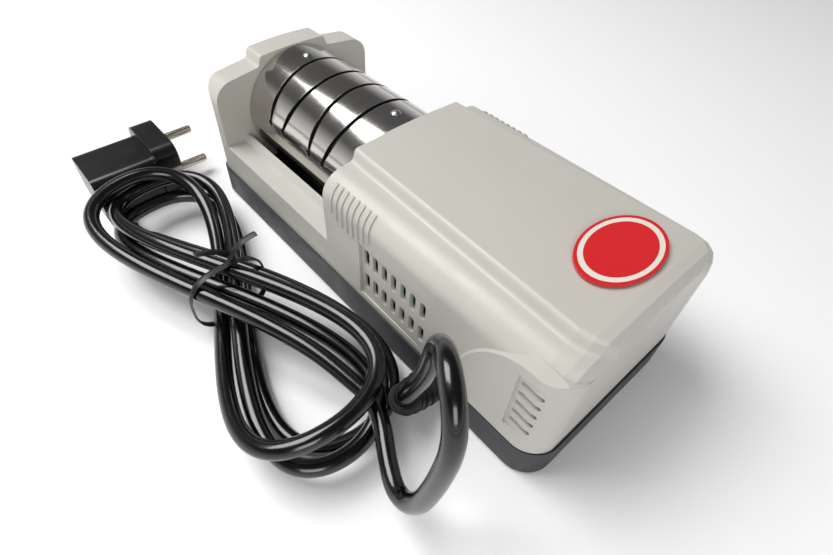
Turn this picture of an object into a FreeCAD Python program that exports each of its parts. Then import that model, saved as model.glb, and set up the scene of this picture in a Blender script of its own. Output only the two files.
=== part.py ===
import FreeCAD, Part
import math
import os

from FreeCAD import Vector

# Electric knife sharpener with two grinding stages under a slotted steel cover.
# X runs along the body towards the motor end, -Y is the side with the vents and
# the mains lead, Z is up. The origin is at the bottom centre of the body.

# Driving sizes of the body, in mm
body_half_length = 120.0
body_half_width = 50.0
foot_proud = 1.5
foot_radius = 8.0
foot_recess = 1.5
pan_height = 16.65
pan_wall = 2.5
pan_floor = 2.5
shell_inset = 1.0
shell_wall = 2.5
end_wall = 7.0
motor_end_corner = 12.0
head_end_corner = 8.0

# Raised shapes of the upper housing
ledge_height = 35.4
lip_foot_y = 38.5
lip_height = 38.6
lip_top_y = 36.4
lip_inner_y = 35.0
head_inner_face_x = -105.1
head_top = 79.0
head_top_half = 20.2
head_crown = 1.4
head_shoulder_at_wall = 70.2
motor_face_x = -10.3
motor_top = 78.4
motor_crown = 1.4
motor_top_half_front = 30.7
motor_top_half_end = 35.3
motor_shoulder_at_wall = 71.4
step_down = 5.3
step_out = 1.5
shoulder_radius = 11.0
step_foot_radius = 2.2
step_top_radius = 2.2
crown_radius = 300.0
end_top_radius = 5.5

# Spindle, wheels and slotted cover
axis_height = 47.3
cover_radius = 31.9
cover_thickness = 0.8
cover_wrap_below = 28.0
spigot_length = 14.0
spigot_wall = 2.2
guide_wall = 2.4
fit_gap = 0.05
part_gap = 0.3
upright_slot_x = -83.8
leaning_slot_x = -72.4
slot_lean = 17.0
slot_end_angle = 13.0
slot_wide = 3.0
slot_narrow = 1.7
slot_wide_height = 9.0
slot_end_hole = 1.7
stage_pitch = 35.0
wheel_radius = 24.5
wheel_face_angle = 17.0
spindle_radius = 5.0
spacer_radius = 8.0

# Motor
can_radius = 25.5
can_wall = 1.6
can_start = 26.0
can_length = 56.0
motor_shaft_radius = 4.0
magnet_thickness = 4.5
armature_gap = 0.6
coupling_radius = 10.5
coupling_length = 17.0
fan_radius = 25.0

# Vents and trim
vent_left_x = 14.6
vent_pitch = 6.0
vent_columns = 7
vent_slot_width = 3.4
vent_slot_height = 9.6
vent_low_row = 31.2
vent_row_pitch = 14.9
vent_recess = 1.2
arch_centre_x = 105.5
arch_half_width = 32.0
arch_top = 65.9
arch_proud = 0.9
arch_slope = 4.0
arch_root = 18.0
small_vent_x = 101.0
small_slot_count = 5
small_slot_length = 9.5
small_slot_width = 2.6
small_slot_pitch = 6.0
small_slot_low = 32.5
grip_centre_x = 8.5
grip_centre_z = 65.0
grip_half_length = 15.5
grip_half_height = 12.0
grip_ribs = 8
grip_rib_width = 1.2
grip_rib_pitch = 3.6
grip_proud = 0.6
badge_x = 96.5
badge_y = 3.5
badge_half_long = 21.0
badge_half_short = 13.5
badge_thickness = 1.2

# Rocker switch in a pocket of the +Y side
switch_x = 70.0
switch_height = 45.0
switch_pocket_depth = 4.0
rocker_half_length = 12.0
rocker_half_height = 5.6
rocker_swing = 14.0
switch_body_deep = 13.0

# Mains lead: 3 x 0.75 mm2 round flex
cord_diameter = 7.3
cord_exit_x = 66.0
cord_exit_height = 10.5
cord_inner_end = 33.0
relief_neck_radius = 6.0
relief_root_radius = 8.6
relief_tip_radius = 5.4
relief_reach = 31.0
relief_rib_pitch = 4.4
relief_rib_width = 2.6
relief_groove = 1.2

# Corners of the lead from the clamp, up and over the arch, to the hank. Chosen by hand.
lead_corners = [
    (67.2, -67.0, 15.6),
    (69.8, -71.8, 26.0),
    (75.0, -72.0, 41.0),
    (80.2, -70.6, 58.0),
    (81.4, -69.8, 74.0),
    (86.6, -73.4, 83.6),
    (95.0, -79.3, 87.4),
    (103.2, -85.0, 83.6),
    (108.0, -88.6, 73.6),
    (107.4, -91.0, 56.0),
    (105.6, -92.8, 41.0),
    (103.6, -94.0, 31.0),
    (98.6, -95.2, 21.5),
    (89.0, -93.6, 18.2),
]
# Corners of the tail from the hank to the plug. Chosen by hand.
tail_corners = [
    (-97.5, -112.8, 8.8),
]
plug_exit_y = -112.5
plug_exit_height = 6.6
plug_face_y = -70.0
plug_rear_y = -118.0
plug_step_y = -83.0
plug_left = -167.0
plug_right = -128.0
plug_clearance = 0.4
plug_flange_top = 33.0
plug_body_top = 27.5
plug_grip_inset = 2.0
plug_pin_radius = 2.4
plug_pin_length = 19.0
plug_pin_spacing = 19.0
plug_pin_turn = 44.0
grommet_length = 23.0
grommet_root = 6.1
grommet_tip = 4.9

# Hank of the lead: figure-of-eight turns drawn in at the tie
waist_x = -26.0
waist_y = -90.0
hank_turns = 3
hank_from = 50.0
hank_to = 1195.0
hank_steps = 40
lobe_roundness = 0.03
tie_width = 4.4
tie_thickness = 0.7
# Half lengths, half widths, sideways shifts and heights of the right and left lobes,
# then shifts and heights of the two crossing strands at the waist, turn by turn
reach_right = [98.0, 90.4, 94.7, 89.1]
reach_left = [92.1, 93.2, 86.0]
width_right = [22.0, 27.2, 25.5, 24.7]
width_left = [25.1, 25.5, 23.6]
shift_right = [-10.9, -6.8, -5.4, 5.4]
shift_left = [-10.2, -0.8, -3.0]
height_right = [18.5, 29.6, 10.8, 3.9]
height_left = [30.9, 22.2, 14.5]
shift_over = [-17.5, -0.7, -7.9, 8.2]
height_over = [27.1, 30.4, 23.5, 23.2]
shift_under = [-10.4, -1.8, 1.4]
height_under = [11.8, 15.3, 5.2]

pan_bottom = foot_proud
parting = pan_bottom + pan_height
pan_inside = pan_bottom + pan_floor
shell_half_length = body_half_length - shell_inset
shell_half_width = body_half_width - shell_inset
cover_inside = cover_radius - cover_thickness
slot_end_height = axis_height + cover_radius * math.sin(math.radians(slot_end_angle))
can_end = can_start + can_length
X_AXIS = Vector(1, 0, 0)
Y_AXIS = Vector(0, 1, 0)
Z_AXIS = Vector(0, 0, 1)


def box(x0, x1, y0, y1, z0, z1):
    return Part.makeBox(x1 - x0, y1 - y0, z1 - z0, Vector(x0, y0, z0))


def rod(radius, start, direction, length):
    return Part.makeCylinder(radius, length, Vector(*start), direction)


def tube(outer, inner, start, direction, length):
    return rod(outer, start, direction, length).cut(rod(inner, start, direction, length))


def x_rod(radius, x0, x1, y=0.0, z=axis_height):
    return rod(radius, (x0, y, z), X_AXIS, x1 - x0)


def x_tube(outer, inner, x0, x1, y=0.0, z=axis_height):
    return x_rod(outer, x0, x1, y, z).cut(x_rod(inner, x0, x1, y, z))


def fused(shapes):
    whole = shapes[0]
    if len(shapes) > 1:
        whole = whole.multiFuse(shapes[1:])
    return whole.removeSplitter()


def turned(shape, centre, axis, degrees):
    copy = shape.copy()
    copy.rotate(Vector(*centre), axis, degrees)
    return copy


def mirrored_y(shape):
    return shape.mirror(Vector(0, 0, 0), Y_AXIS)


def save(name, shape):
    os.makedirs("parts", exist_ok=True)
    if not shape.isValid():
        print("not valid:", name)
    shape.exportStep("parts/" + name + ".step")
    print(name, "solids", len(shape.Solids), "volume", round(shape.Volume, 1))


def rounded_wire(points, radii):
    """A closed outline of straight runs whose corners are arcs of the given radii."""
    count = len(points)
    starts, middles, ends = [], [], []
    for i in range(count):
        here = points[i]
        before = points[i - 1] - here
        after = points[(i + 1) % count] - here
        before.normalize()
        after.normalize()
        half = before.getAngle(after) / 2.0
        if radii[i] <= 0:
            starts.append(here)
            middles.append(None)
            ends.append(here)
            continue
        reach = radii[i] / math.tan(half)
        bisector = before + after
        bisector.normalize()
        starts.append(here + before * reach)
        middles.append(here + bisector * (radii[i] / math.sin(half) - radii[i]))
        ends.append(here + after * reach)
    edges = []
    for i in range(count):
        if middles[i] is not None:
            edges.append(Part.Arc(starts[i], middles[i], ends[i]).toShape())
        nxt = starts[(i + 1) % count]
        if (nxt - ends[i]).Length > 1e-6:
            edges.append(Part.LineSegment(ends[i], nxt).toShape())
    return Part.Wire(edges)


def plan_solid(half_width, x0, x1, corner0, corner1, z0, z1):
    """A plate with rounded plan corners, from x0 to x1."""
    points = [Vector(x0, -half_width, z0), Vector(x1, -half_width, z0),
              Vector(x1, half_width, z0), Vector(x0, half_width, z0)]
    wire = rounded_wire(points, [corner0, corner1, corner1, corner0])
    return Part.Face(wire).extrude(Vector(0, 0, z1 - z0))


def stepped_section(x, half_width, base_z, shoulder_z, half_top, top_z, crown, inset):
    """The housing's cross-section: upright sides, rounded shoulders, a stepped and crowned top."""
    side = half_width - inset
    low_step = half_top + step_out - 0.6 * inset
    top = half_top - 0.6 * inset
    points = [
        Vector(x, -side, base_z),
        Vector(x, -side, shoulder_z - inset),
        Vector(x, -low_step, top_z - step_down - inset),
        Vector(x, -top, top_z - inset),
        Vector(x, 0, top_z + crown - inset),
        Vector(x, top, top_z - inset),
        Vector(x, low_step, top_z - step_down - inset),
        Vector(x, side, shoulder_z - inset),
        Vector(x, side, base_z),
    ]
    soft = shoulder_radius - inset
    round_top = min(crown_radius, 0.8 * top * top / crown)
    radii = [0, soft, step_foot_radius, step_top_radius, round_top,
             step_top_radius, step_foot_radius, soft, 0]
    return rounded_wire(points, radii)


def head_section(x, inset=0.0, base_z=None):
    base_z = parting if base_z is None else base_z
    return stepped_section(x, shell_half_width, base_z, head_shoulder_at_wall,
                           head_top_half, head_top, head_crown, inset)


def motor_section(x, inset=0.0, base_z=None, drop=0.0, narrow=0.0):
    share = (x - motor_face_x) / (shell_half_length - motor_face_x)
    half_top = motor_top_half_front + share * (motor_top_half_end - motor_top_half_front)
    base_z = parting if base_z is None else base_z
    return stepped_section(x, shell_half_width - narrow, base_z, motor_shoulder_at_wall - drop,
                           half_top - narrow, motor_top - drop, motor_crown, inset)


def slot_cutter(x, lean, extra=0.0):
    """One lens-shaped knife slot, narrow at its ends, cut across the cover in Y."""
    low = slot_end_height
    wide = slot_wide / 2 + extra
    narrow = slot_narrow / 2 + extra
    top = axis_height + cover_radius + 8.0
    points = [Vector(-narrow, -60, low - extra), Vector(-wide, -60, low + slot_wide_height),
              Vector(-narrow, -60, top), Vector(narrow, -60, top),
              Vector(wide, -60, low + slot_wide_height), Vector(narrow, -60, low - extra)]
    face = Part.Face(Part.makePolygon(points + points[:1]))
    blade = face.extrude(Vector(0, 120, 0))
    hole = rod(slot_end_hole + extra, (0, -60, low), Y_AXIS, 120)
    tool = blade.fuse(hole)
    tool.translate(Vector(x, 0, 0))
    return turned(tool, (x, 0, low), Y_AXIS, lean)


def all_slots(extra=0.0):
    tools = []
    for stage in range(2):
        shift = stage * stage_pitch
        tools.append(slot_cutter(upright_slot_x + shift, 0.0, extra))
        tools.append(slot_cutter(leaning_slot_x + shift, slot_lean, extra))
    return tools


def above(z, shape):
    return shape.common(box(-200, 200, -200, 200, z, 200))


# Bosses and screw places shared by the pan, the housing and their screws
case_screw_places = [(-94.0, -41.0), (-94.0, 41.0), (104.0, -37.0), (104.0, 37.0)]
case_screw_radius = 1.9
case_boss_radius = 4.6
case_head_radius = 3.6
case_head_height = 2.4
case_screw_length = 20.0
foot_places = [(-104.0, -34.0), (-104.0, 34.0), (96.0, -24.0), (96.0, 24.0)]
strap_x = 53.0
strap_width = 10.0
strap_wall = 1.2
strap_screw_y = 32.0
strap_screw_height = 30.0
board_x0 = 16.0
board_x1 = 46.0
board_face_y = -38.0
board_foot = 11.0
board_top = 38.0
board_thickness = 1.6
board_screw_x = (20.0, 42.0)
board_screw_height = 15.0
board_post_depth = 7.0
saddle_x0 = 32.0
saddle_x1 = 76.0
saddle_half_width = 19.0
clamp_x0 = cord_exit_x - 8.6
clamp_x1 = cord_exit_x + 8.6
clamp_y0 = -42.0
clamp_y1 = -33.0
clamp_screw_x = (cord_exit_x - 6.4, cord_exit_x + 6.4)
small_screw_radius = 1.4


def base_pan():
    outer = plan_solid(body_half_width, -body_half_length, body_half_length,
                       head_end_corner + shell_inset, motor_end_corner + shell_inset,
                       pan_bottom, parting)
    inner = plan_solid(body_half_width - pan_wall, -body_half_length + pan_wall,
                       body_half_length - pan_wall, head_end_corner - pan_wall + shell_inset,
                       motor_end_corner - pan_wall + shell_inset, pan_inside, parting + 1)
    pan = outer.cut(inner)
    adds = []
    for x, y in case_screw_places:
        adds.append(rod(case_boss_radius, (x, y, pan_bottom), Z_AXIS, parting - pan_bottom))
    for side in (-1, 1):
        adds.append(rod(4.2, (strap_x, side * strap_screw_y, pan_bottom), Z_AXIS,
                        strap_screw_height - pan_bottom))
    for x in board_screw_x:
        adds.append(box(x - 3.0, x + 3.0, board_face_y, board_face_y + board_post_depth,
                        pan_bottom, board_screw_height + 4.0))
    for x in clamp_screw_x:
        adds.append(box(x - 2.6, x + 2.6, clamp_y0, clamp_y1, pan_bottom, cord_exit_height - 0.3))
    pan = fused([pan] + adds)
    cuts = []
    for x, y in case_screw_places:
        cuts.append(rod(case_screw_radius + fit_gap, (x, y, 0), Z_AXIS, parting + 1))
        cuts.append(rod(case_head_radius + part_gap, (x, y, 0), Z_AXIS,
                        pan_bottom + case_head_height + 0.6))
    for x, y in foot_places:
        cuts.append(rod(foot_radius + fit_gap, (x, y, 0), Z_AXIS, pan_bottom + foot_recess))
    for side in (-1, 1):
        cuts.append(rod(small_screw_radius + fit_gap, (strap_x, side * strap_screw_y, 15),
                        Z_AXIS, 20))
    for x in board_screw_x:
        cuts.append(rod(small_screw_radius + fit_gap, (x, board_face_y - 1, board_screw_height),
                        Y_AXIS, board_post_depth))
    for x in clamp_screw_x:
        cuts.append(rod(small_screw_radius + fit_gap, (x, (clamp_y0 + clamp_y1) / 2, pan_inside),
                        Z_AXIS, 12))
    cuts.append(rod(relief_neck_radius + fit_gap, (cord_exit_x, -60, cord_exit_height),
                    Y_AXIS, 16))
    pan = pan.cut(fused(cuts))
    return pan


def case_screws():
    screws = []
    for x, y in case_screw_places:
        seat = pan_bottom + case_head_height + 0.6
        head = rod(case_head_radius, (x, y, seat - case_head_height), Z_AXIS, case_head_height)
        shank = rod(case_screw_radius, (x, y, seat), Z_AXIS, case_screw_length)
        cross = [box(x - 2.2, x + 2.2, y - 0.5, y + 0.5, 0, seat - case_head_height + 1.2),
                 box(x - 0.5, x + 0.5, y - 2.2, y + 2.2, 0, seat - case_head_height + 1.2)]
        screws.append(head.fuse(shank).cut(cross[0]).cut(cross[1]))
    return Part.makeCompound(screws)


def rubber_feet():
    feet = []
    for x, y in foot_places:
        foot = rod(foot_radius, (x, y, 0), Z_AXIS, foot_proud + foot_recess)
        rim = [e for e in foot.Edges if abs(e.BoundBox.ZMax) < 0.01]
        feet.append(foot.makeFillet(0.8, rim))
    return Part.makeCompound(feet)


def motor_cover_outer():
    """The motor end of the housing: a long ruled run and a nose whose edges roll off."""
    end = shell_half_length
    run_end = end - motor_end_corner
    long_run = Part.makeLoft([motor_section(motor_face_x), motor_section(run_end)], True, True)
    sections = []
    for step in (0.0, 0.3, 0.55, 0.75, 0.9, 0.98, 1.0):
        x = run_end + motor_end_corner * math.sin(step * math.pi / 2)
        narrow = motor_end_corner * (1 - math.cos(step * math.pi / 2))
        past = x - (end - end_top_radius)
        drop = 0.0
        if past > 0:
            drop = end_top_radius - math.sqrt(max(end_top_radius ** 2 - past ** 2, 0.0))
        sections.append(motor_section(x, 0.0, None, drop, narrow * 0.86))
    nose = Part.makeLoft(sections, True, True)
    return long_run.fuse(nose)


def upper_housing():
    hl, hw = shell_half_length, shell_half_width
    body = plan_solid(hw, -hl, hl, head_end_corner, motor_end_corner, parting, ledge_height)
    head = Part.Face(head_section(-hl)).extrude(Vector(head_inner_face_x + hl, 0, 0))
    head = head.common(plan_solid(hw, -hl, hl, head_end_corner, motor_end_corner,
                                  parting, head_top + 5))
    lips = []
    for side in (-1, 1):
        points = [Vector(head_inner_face_x - 1, side * y, z) for y, z in
                  ((lip_foot_y + 0.4, ledge_height - 3), (lip_foot_y, ledge_height),
                   (lip_top_y, lip_height), (lip_inner_y, lip_height),
                   (lip_inner_y, ledge_height - 3))]
        face = Part.Face(Part.makePolygon(points + points[:1]))
        lips.append(face.extrude(Vector(motor_face_x - head_inner_face_x + 2, 0, 0)))
    outer = fused([body, head, motor_cover_outer(), arched_plinth(), grip_ribs_solid()] + lips)

    cuts = []
    # Hollow of the motor end
    hollow = Part.makeLoft([motor_section(motor_face_x + shell_wall, shell_wall, parting - 1),
                            motor_section(hl - end_wall, shell_wall, parting - 1)], True, True)
    hollow = hollow.common(plan_solid(hw - shell_wall, -hl, hl - end_wall, head_end_corner,
                                      motor_end_corner, parting - 1, head_top + 5))
    cuts.append(hollow)
    # Hollow of the head end, open to the pan
    head_hollow = Part.Face(head_section(-hl + shell_wall, shell_wall, parting - 1)).extrude(
        Vector(head_inner_face_x + hl - 2 * shell_wall, 0, 0))
    cuts.append(head_hollow.common(plan_solid(hw - shell_wall, -hl + shell_wall, hl,
                                              head_end_corner - shell_wall, motor_end_corner,
                                              parting - 1, head_top + 5)))
    # Well under the slotted cover, between the two end faces
    well_x0, well_x1 = head_inner_face_x, motor_face_x
    cuts.append(box(well_x0, well_x1, -lip_inner_y, lip_inner_y, parting - 1, 60))
    cuts.append(x_rod(cover_radius + part_gap, well_x0, well_x1))
    for side in (-1, 1):
        y0, y1 = sorted((side * (lip_inner_y + shell_wall), side * (hw - shell_wall)))
        cuts.append(box(well_x0 + shell_wall, well_x1 - shell_wall, y0, y1,
                        parting - 1, ledge_height - shell_wall))
    shell = outer.cut(fused(cuts))

    # Spigots that the cover seats on, their spindle holes, and the screw pads
    adds = []
    for x0, x1, pad in ((head_inner_face_x - 0.5, head_inner_face_x + spigot_length, -91.0),
                        (motor_face_x - spigot_length, motor_face_x + 0.5, -19.5)):
        ring = x_tube(cover_inside - fit_gap, cover_inside - spigot_wall, x0, x1)
        adds.append(above(axis_height - 6.0, ring))
        adds.append(above(axis_height, x_rod(cover_inside - fit_gap, pad - 3.6, pad + 3.6)).common(
            box(pad - 3.6, pad + 3.6, -4.0, 4.0, axis_height + cover_inside - 6.0, 100)))
    # Columns for the case screws
    for x, y in case_screw_places:
        top = ledge_height - 1.0 if x < 0 else motor_shoulder_at_wall - 6.0
        adds.append(rod(case_boss_radius, (x, y, parting), Z_AXIS, top - parting))
        side = 1 if y > 0 else -1
        y0, y1 = sorted((y, side * (hw - 0.8)))
        adds.append(box(x - 1.2, x + 1.2, y0, y1, parting, top - 2.0))
    # Inner pad behind the switch pocket
    pocket_x = 20.0
    pocket_z = 12.5
    pad_floor = hw - switch_pocket_depth - shell_wall
    adds.append(box(switch_x - pocket_x - shell_wall, switch_x + pocket_x + shell_wall,
                    pad_floor, hw - 0.5, switch_height - pocket_z - shell_wall,
                    switch_height + pocket_z + shell_wall))
    shell = fused([shell] + adds)

    cuts = []
    for pad in (-91.0, -19.5):
        cuts.append(rod(small_screw_radius + fit_gap, (pad, 0, axis_height + cover_inside - 9.0),
                        Z_AXIS, 20))
    cuts.append(x_rod(spindle_radius + 2.5, head_inner_face_x - 3.0, head_inner_face_x + 1.0))
    cuts.append(x_rod(spindle_radius + 2.5, motor_face_x - 1.0, motor_face_x + 3.0))
    for x, y in case_screw_places:
        cuts.append(rod(case_screw_radius + fit_gap, (x, y, parting - 1), Z_AXIS, 14))
    cuts.append(box(switch_x - pocket_x, switch_x + pocket_x, hw - switch_pocket_depth, hw + 2,
                    switch_height - pocket_z, switch_height + pocket_z))
    cuts.append(box(switch_x - switch_body_half - fit_gap, switch_x + switch_body_half + fit_gap,
                    pad_floor - 1, hw, switch_height - switch_body_high - fit_gap,
                    switch_height + switch_body_high + fit_gap))
    cuts += vent_cutters()
    cuts += small_vent_cutters()
    shell = shell.cut(fused(cuts))
    return shell


def arch_outline(y, grow):
    """Half an ellipse standing on the parting line."""
    base = parting + 0.6
    half = arch_half_width + grow
    tall = arch_top + grow - base
    centre = Vector(arch_centre_x, y, base)
    left, right = centre - Vector(half, 0, 0), centre + Vector(half, 0, 0)
    bend = Part.Ellipse(centre + Vector(0, 0, tall), right, centre)
    if tall < half:
        bend = Part.Ellipse(right, centre + Vector(0, 0, tall), centre)
    curve = Part.Wire([bend.toShape()])
    upper = Part.Face(curve).common(box(-200, 300, y - 1, y + 1, base, 200))
    return upper.Faces[0].OuterWire


def arched_plinth():
    """A panel at the motor end that stands out of the side and of the rounded shoulder."""
    outer_y = -shell_half_width - arch_proud
    slope_y = outer_y + arch_slope
    slope = Part.makeLoft([arch_outline(slope_y, arch_slope), arch_outline(outer_y, 0.0)],
                          True, True)
    root = Part.Face(arch_outline(slope_y, arch_slope)).extrude(Vector(0, arch_root, 0))
    limit = plan_solid(shell_half_width + arch_proud, 0, shell_half_length, 1.0,
                       motor_end_corner, parting, motor_top)
    return slope.fuse(root).common(limit)


def grip_ribs_solid():
    """Upright ribs in an oval on each rounded shoulder, near the front of the motor end."""
    x0 = max(grip_centre_x - grip_half_length - 1, motor_face_x + 0.5)
    x1 = grip_centre_x + grip_half_length + 1
    skin = Part.makeLoft([motor_section(x0, -grip_proud), motor_section(x1, -grip_proud)],
                         True, True)
    skin = skin.cut(Part.makeLoft([motor_section(x0, 1.0), motor_section(x1, 1.0)], True, True))
    oval = Part.Ellipse(Vector(0, 0, 0), grip_half_length, grip_half_height).toShape()
    column = Part.Face(Part.Wire([oval])).extrude(Vector(0, 0, 120))
    column.rotate(Vector(0, 0, 0), X_AXIS, 90)
    column.translate(Vector(grip_centre_x, 60, grip_centre_z))
    column = column.common(box(-200, 200, -60, 60, 0, motor_top - step_down - 2.5))
    ribs = []
    for i in range(grip_ribs):
        x = grip_centre_x + (i - (grip_ribs - 1) / 2) * grip_rib_pitch
        ribs.append(box(x - grip_rib_width / 2, x + grip_rib_width / 2, -60, 60, 0, 120))
    return skin.common(column).common(Part.makeCompound(ribs))


def small_vent_cutters():
    outer_y = -shell_half_width - arch_proud
    low = small_slot_low - 5.0
    high = small_slot_low + small_slot_pitch * (small_slot_count - 1) + 4.0
    x1 = small_vent_x + small_slot_length + 3.0
    points = [Vector(small_vent_x, outer_y + 0.8, low), Vector(small_vent_x, outer_y - 2, low),
              Vector(x1, outer_y - 2, low), Vector(x1, outer_y, low)]
    tools = [Part.Face(Part.makePolygon(points + points[:1])).extrude(Vector(0, 0, high - low))]
    half = small_slot_width / 2
    for i in range(small_slot_count):
        z = small_slot_low + i * small_slot_pitch
        a, b = small_vent_x + 1.4 + half, small_vent_x + small_slot_length
        tools.append(box(a, b, outer_y - 2, outer_y + 6.5, z - half, z + half))
        tools.append(rod(half, (a, outer_y - 2, z), Y_AXIS, 8.5))
        tools.append(rod(half, (b, outer_y - 2, z), Y_AXIS, 8.5))
    return tools


def upright_slot(x, z, width, height, y0, y1):
    """A slot with round ends, standing upright, cut through a wall in Y."""
    half = width / 2
    tall = height / 2 - half
    middle = box(x - half, x + half, y0, y1, z - tall, z + tall)
    low = rod(half, (x, y0, z - tall), Y_AXIS, y1 - y0)
    high = rod(half, (x, y0, z + tall), Y_AXIS, y1 - y0)
    return middle.fuse(low).fuse(high)


def vent_cutters():
    hw = shell_half_width
    tools = []
    right = vent_left_x + vent_columns * vent_pitch + 2.0
    low = vent_low_row - vent_slot_height / 2 - 5.0
    high = vent_low_row + vent_row_pitch + vent_slot_height / 2 + 2.0
    # A shallow wedge: deepest at the left border and running out to the right
    points = [Vector(vent_left_x, -hw + vent_recess, low), Vector(vent_left_x, -hw - 2, low),
              Vector(right, -hw - 2, low), Vector(right, -hw, low)]
    face = Part.Face(Part.makePolygon(points + points[:1]))
    tools.append(face.extrude(Vector(0, 0, high - low)))
    for column in range(vent_columns):
        x = vent_left_x + vent_pitch * (column + 0.68)
        for row in range(2):
            z = vent_low_row + row * vent_row_pitch
            tools.append(upright_slot(x, z, vent_slot_width, vent_slot_height, -hw - 3, -hw + 4))
    return tools


switch_body_half = rocker_half_length + 1.8
switch_body_high = rocker_half_height + 1.6
switch_pivot_y = shell_half_width - switch_pocket_depth - 2.0


def switch_frame():
    face_y = shell_half_width - switch_pocket_depth
    flange = box(switch_x - switch_body_half - 1.6, switch_x + switch_body_half + 1.6,
                 face_y, face_y + 1.4, switch_height - switch_body_high - 1.4,
                 switch_height + switch_body_high + 1.4)
    body = box(switch_x - switch_body_half, switch_x + switch_body_half, face_y - switch_body_deep, face_y,
               switch_height - switch_body_high, switch_height + switch_body_high)
    frame = fused([flange, body])
    well = box(switch_x - rocker_half_length - 0.6, switch_x + rocker_half_length + 0.6,
               face_y - 8.0, face_y + 3, switch_height - rocker_half_height - 0.3,
               switch_height + rocker_half_height + 0.3)
    pins = rod(1.5 + fit_gap, (switch_x, switch_pivot_y, switch_height - rocker_half_height - 1.1),
               Z_AXIS, 2 * rocker_half_height + 2.2)
    tabs = []
    for x in (-8.0, 0.0, 8.0):
        tabs.append(box(switch_x + x - 0.4, switch_x + x + 0.4, face_y - switch_body_deep - 5.0,
                        face_y - switch_body_deep,
                        switch_height - 2.4, switch_height + 2.4))
    return fused([frame.cut(well.fuse(pins))] + tabs)


def switch_rocker():
    """The rocker, drawn level and then turned to its off position."""
    y = switch_pivot_y
    top = y + 4.6
    points = [Vector(switch_x - rocker_half_length, y + 0.6, 0),
              Vector(switch_x - rocker_half_length, top + 0.9, 0),
              Vector(switch_x, top - 0.7, 0),
              Vector(switch_x + rocker_half_length, top + 0.9, 0),
              Vector(switch_x + rocker_half_length, y + 0.6, 0),
              Vector(switch_x + 4.0, y - 2.6, 0),
              Vector(switch_x - 4.0, y - 2.6, 0)]
    wire = rounded_wire(points, [0.4, 0.9, 30.0, 0.9, 0.4, 1.5, 1.5])
    block = Part.Face(wire).extrude(Vector(0, 0, 2 * rocker_half_height))
    block.translate(Vector(0, 0, switch_height - rocker_half_height))
    pins = rod(1.5, (switch_x, y, switch_height - rocker_half_height - 0.9), Z_AXIS,
               2 * rocker_half_height + 1.8)
    rocker = block.fuse(pins)
    return turned(rocker, (switch_x, y, switch_height), Z_AXIS, -rocker_swing / 2)


def slotted_cover():
    x0 = head_inner_face_x + 0.2
    x1 = motor_face_x - 0.2
    sheet = x_tube(cover_radius, cover_inside, x0, x1)
    below = cover_radius * math.sin(math.radians(cover_wrap_below))
    sheet = sheet.cut(box(x0 - 1, x1 + 1, -60, 60, 0, axis_height - below))
    tools = all_slots()
    for pad in (-91.0, -19.5):
        tools.append(rod(small_screw_radius + 0.2, (pad, 0, axis_height + 20), Z_AXIS, 20))
    return sheet.cut(fused(tools))


def cover_screws():
    screws = []
    for pad in (-91.0, -19.5):
        crown = axis_height + cover_radius
        head = Part.makeSphere(3.2, Vector(pad, 0, crown - 1.9))
        head = head.common(rod(2.6, (pad, 0, crown + 0.05), Z_AXIS, 4))
        shank = rod(small_screw_radius, (pad, 0, crown - 7.0), Z_AXIS, 7.06)
        screws.append(head.fuse(shank))
    return Part.makeCompound(screws)


def knife_guide():
    """A black moulding under the cover, slotted in line with it."""
    x0 = head_inner_face_x + spigot_length + 4.2
    x1 = motor_face_x - spigot_length - 1.2
    outer = cover_inside - fit_gap
    ring = x_tube(outer, outer - guide_wall, x0, x1)
    ring = ring.cut(box(x0 - 1, x1 + 1, -60, 60, 0, axis_height - 12.0))
    return ring.cut(fused(all_slots(0.25)))


def grinding_wheel(stage):
    """A wheel with one conical face for the upright slot and one flat face for the leaning slot."""
    left = upright_slot_x + stage * stage_pitch + slot_narrow / 2 + 0.5
    right = leaning_slot_x + stage * stage_pitch - slot_narrow / 2 - 0.5
    fall = (wheel_radius - spacer_radius) * math.tan(math.radians(wheel_face_angle))
    rim = left + fall
    points = [Vector(left, 0, axis_height + spindle_radius + fit_gap),
              Vector(right, 0, axis_height + spindle_radius + fit_gap),
              Vector(right, 0, axis_height + wheel_radius),
              Vector(rim, 0, axis_height + wheel_radius),
              Vector(left, 0, axis_height + spacer_radius)]
    face = Part.Face(Part.makePolygon(points + points[:1]))
    return face.revolve(Vector(0, 0, axis_height), X_AXIS, 360)


def wheel_span(stage):
    left = upright_slot_x + stage * stage_pitch + slot_narrow / 2 + 0.5
    right = leaning_slot_x + stage * stage_pitch - slot_narrow / 2 - 0.5
    return left, right


spindle_shoulder_x = leaning_slot_x + stage_pitch + 4.0
outboard_x0 = -115.5
outboard_x1 = -108.2
inboard_x0 = -6.8
inboard_x1 = 1.2
bush_radius = 8.0
coupling_x0 = 3.0
coupling_x1 = coupling_x0 + coupling_length


def spindle():
    shaft = x_rod(spindle_radius, outboard_x0 + 0.8, coupling_x0 + coupling_length / 2 - 0.5)
    collar = x_rod(spacer_radius, spindle_shoulder_x, spindle_shoulder_x + 5.0)
    return fused([shaft, collar])


def wheel_spacers():
    """Sleeves that hold the wheels apart on the spindle."""
    first = wheel_span(0)
    second = wheel_span(1)
    gap = 0.02
    between = x_tube(spacer_radius - 0.6, spindle_radius + fit_gap, first[1] + gap, second[0] - gap)
    last = x_tube(spacer_radius - 0.6, spindle_radius + fit_gap, second[1] + gap,
                  spindle_shoulder_x - gap)
    return Part.makeCompound([between, last])


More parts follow.
